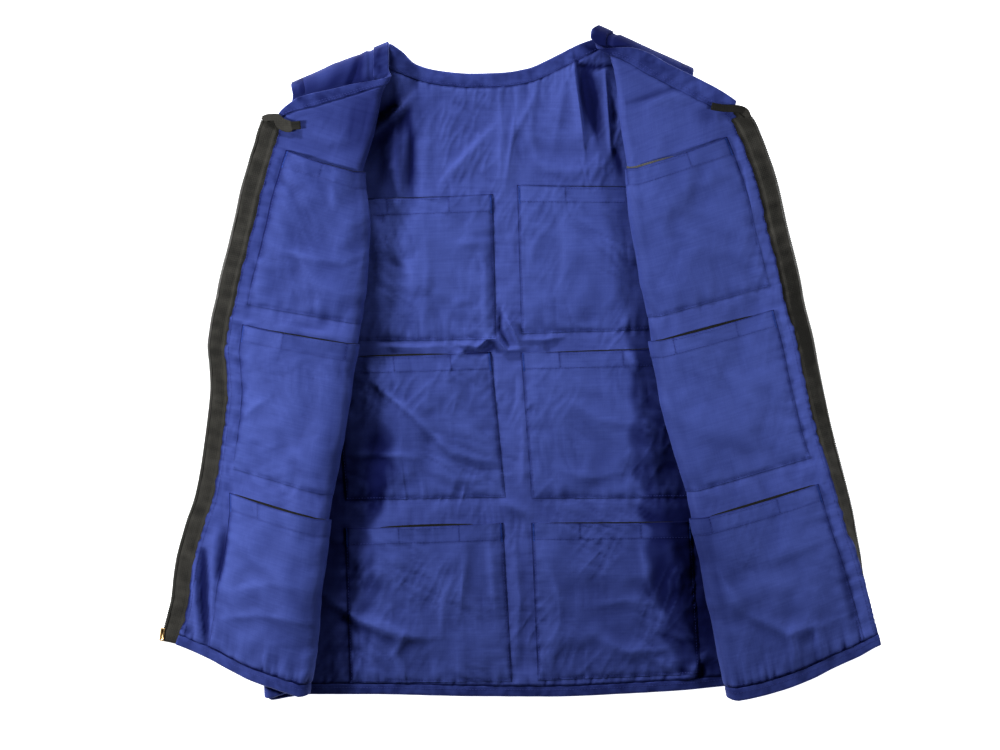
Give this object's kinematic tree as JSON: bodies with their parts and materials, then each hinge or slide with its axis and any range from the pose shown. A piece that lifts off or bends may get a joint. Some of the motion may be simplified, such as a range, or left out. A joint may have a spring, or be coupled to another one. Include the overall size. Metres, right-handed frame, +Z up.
{
  "type": "weighted vest",
  "caption": "Blue cloth vest laid open on its back, inside up, front panels folded back along soft creases, with patch pockets for flat weights and an open zip.",
  "frame": {"origin": "middle of the vest's footprint, on the floor it lies on", "axes": "+X to the right and +Y toward the neck as the vest is seen from above, +Z up"},
  "size_m": [0.763, 0.7084, 0.0493],
  "materials": {
    "cloth": "royal-blue plain weave with a soft sheen",
    "pocket_cloth": "royal-blue plain weave with a soft sheen",
    "band_cloth": "royal-blue plain weave, stitched double",
    "zip_tape": "dark woven tape",
    "closure_tape": "dark hook-and-loop tape",
    "zip_teeth": "dark moulded teeth",
    "brass": "dull brass"
  },
  "bodies": {
    "root": {"back_panel": "cloth", "front_left_panel": "cloth", "front_right_panel": "cloth", "back_hem": "band_cloth", "back_neck_band": "band_cloth", "back_left_armhole_band": "band_cloth", "back_right_armhole_band": "band_cloth", "front_left_hem": "band_cloth", "front_left_neck_band": "band_cloth", "front_left_armhole_band": "band_cloth", "front_right_hem": "band_cloth", "front_right_neck_band": "band_cloth", "front_right_armhole_band": "band_cloth", "back_left_pocket_1": "pocket_cloth", "back_left_pocket_1_closure": "closure_tape", "back_left_pocket_2": "pocket_cloth", "back_left_pocket_2_closure": "closure_tape", "back_left_pocket_3": "pocket_cloth", "back_left_pocket_3_closure": "closure_tape", "back_right_pocket_1": "pocket_cloth", "back_right_pocket_1_closure": "closure_tape", "back_right_pocket_2": "pocket_cloth", "back_right_pocket_2_closure": "closure_tape", "back_right_pocket_3": "pocket_cloth", "back_right_pocket_3_closure": "closure_tape", "front_left_pocket_1": "pocket_cloth", "front_left_pocket_1_closure": "closure_tape", "front_left_pocket_2": "pocket_cloth", "front_left_pocket_2_closure": "closure_tape", "front_left_pocket_3": "pocket_cloth", "front_left_pocket_3_closure": "closure_tape", "front_right_pocket_1": "pocket_cloth", "front_right_pocket_1_closure": "closure_tape", "front_right_pocket_2": "pocket_cloth", "front_right_pocket_2_closure": "closure_tape", "front_right_pocket_3": "pocket_cloth", "front_right_pocket_3_closure": "closure_tape", "zip_tape_left": "zip_tape", "zip_teeth_left": "zip_teeth", "zip_end_left": "zip_tape", "zip_tape_right": "zip_tape", "zip_teeth_right": "zip_teeth", "zip_end_right": "zip_tape", "zip_box_left": "brass", "zip_pin_right": "brass"}
  },
  "joints": []
}
